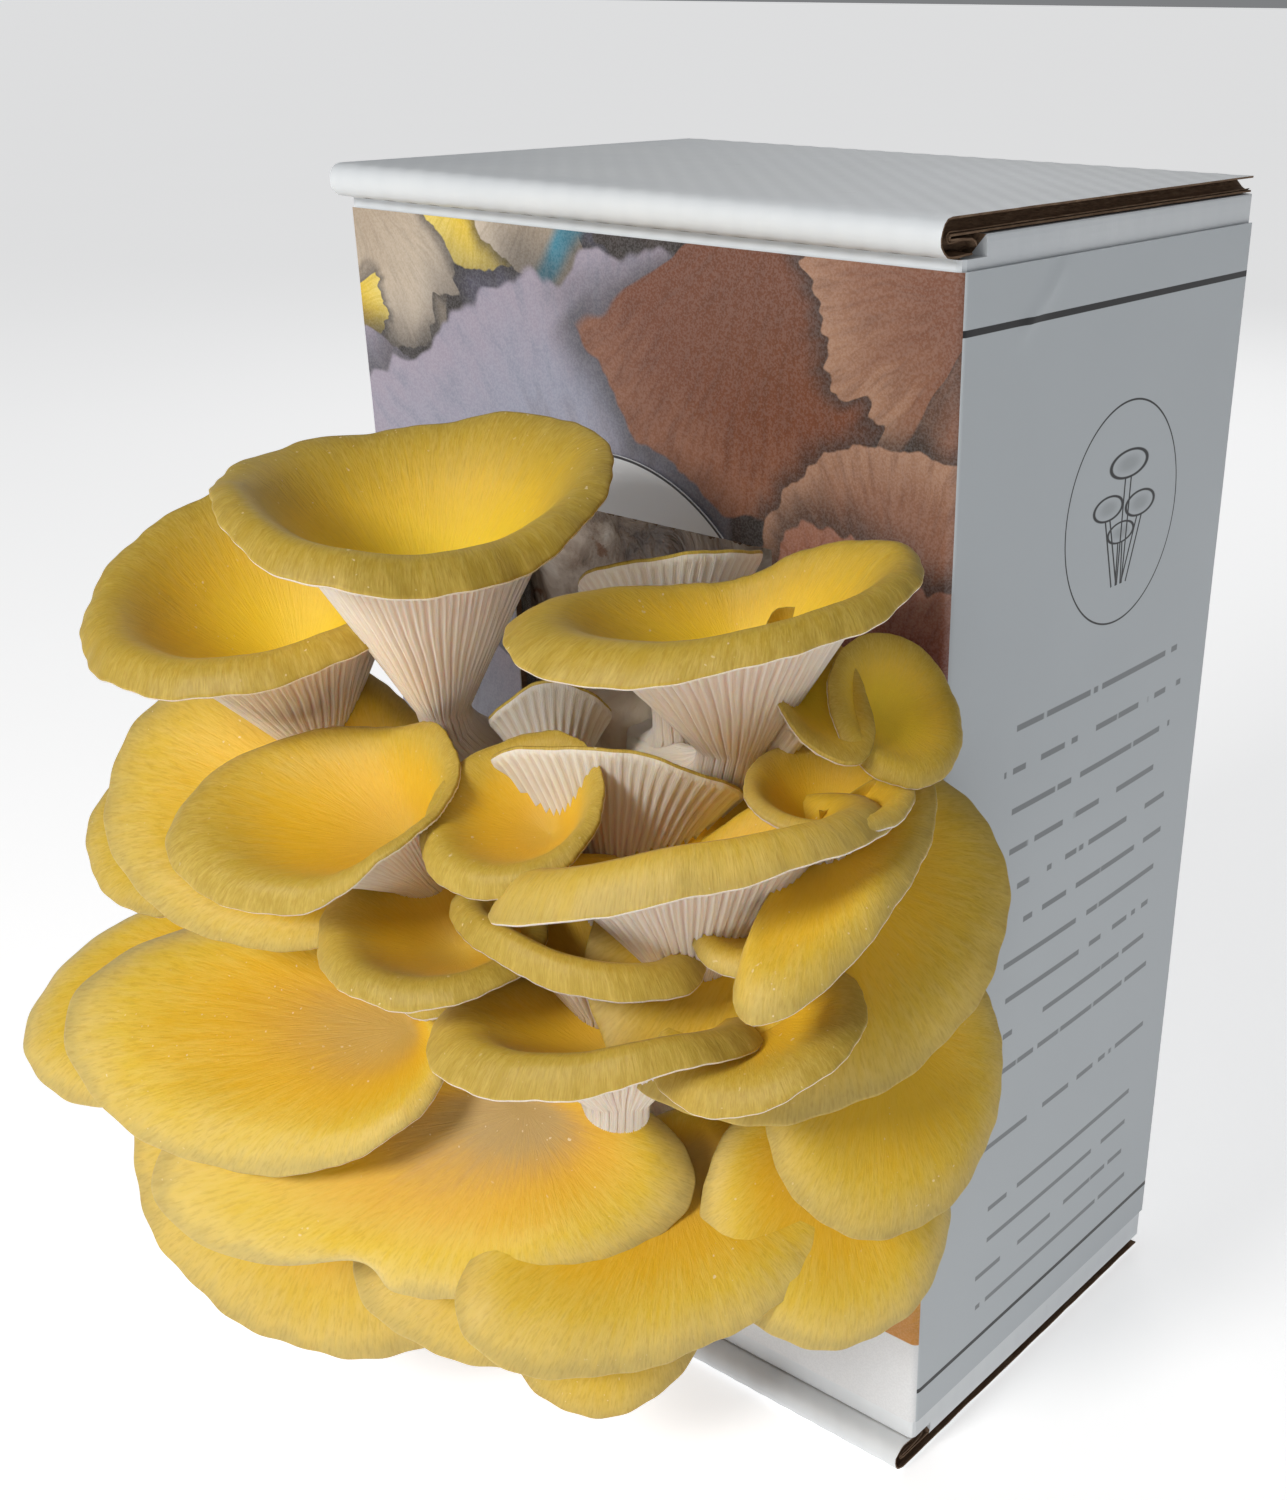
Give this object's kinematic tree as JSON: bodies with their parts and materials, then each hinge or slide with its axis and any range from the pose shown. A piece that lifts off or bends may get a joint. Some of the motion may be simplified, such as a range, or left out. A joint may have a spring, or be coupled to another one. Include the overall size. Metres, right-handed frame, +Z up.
{
  "type": "oyster mushroom grow kit",
  "caption": "Printed corrugated carton with a hinged lid and a bagged substrate block, with a bouquet of golden oyster mushrooms growing out of the window in its front.",
  "frame": {"origin": "centre of the carton's footprint, on the surface it stands on", "axes": "+Z up; -Y out of the front, where the window and the mushrooms are; +X out of the printed side panel"},
  "size_m": [0.2153, 0.2049, 0.26],
  "materials": {
    "white_board": "matte white-lined corrugated board with raw brown edges",
    "printed_paper": "satin printed sheet glued to the board",
    "sticker_paper": "satin bare white paper",
    "mycelium_block": "rough sawdust and straw grown through with mottled mycelium",
    "clear_film": "glossy clear bag film",
    "pale_flesh": "soft matte cream mushroom flesh",
    "golden_cap": "soft satin golden mushroom cap over pale gills"
  },
  "bodies": {
    "kit": {"bottom_panel": "white_board", "carton": "white_board", "label": "printed_paper", "sticker": "sticker_paper", "substrate_block": "mycelium_block", "grow_bag": "clear_film", "cluster_base": "pale_flesh", "mushroom_button": "golden_cap", "mushroom_centre_band": "golden_cap", "mushroom_centre_left": "golden_cap", "mushroom_centre_long": "golden_cap", "mushroom_centre_low_left": "golden_cap", "mushroom_centre_low_long": "golden_cap", "mushroom_centre_pale": "golden_cap", "mushroom_crown_far_left": "golden_cap", "mushroom_crown_left": "golden_cap", "mushroom_crown_pale_back": "golden_cap", "mushroom_crown_pale_small": "golden_cap", "mushroom_crown_right": "golden_cap", "mushroom_crown_right_narrow": "golden_cap", "mushroom_crown_right_small": "golden_cap", "mushroom_left_broad": "golden_cap", "mushroom_left_edge_lower": "golden_cap", "mushroom_left_edge_upper": "golden_cap", "mushroom_left_inner": "golden_cap", "mushroom_left_outer": "golden_cap", "mushroom_lower_left": "golden_cap", "mushroom_right_middle": "golden_cap", "mushroom_lower_notched": "golden_cap", "mushroom_lower_right_broad": "golden_cap", "mushroom_lower_under": "golden_cap", "mushroom_lowest": "golden_cap", "mushroom_right_edge_lower": "golden_cap", "mushroom_right_inner": "golden_cap", "mushroom_right_low": "golden_cap", "mushroom_right_lower": "golden_cap", "mushroom_right_outer": "golden_cap", "mushroom_right_small": "golden_cap"},
    "lid": {"lid": "white_board"}
  },
  "joints": [
    {"name": "lid_hinge", "type": "hinge", "parent": "kit", "child": "lid", "pos_m": [0, 0.05165, 0.25685], "axis": [-1, 0, 0], "range_deg": [0, 180]}
  ]
}
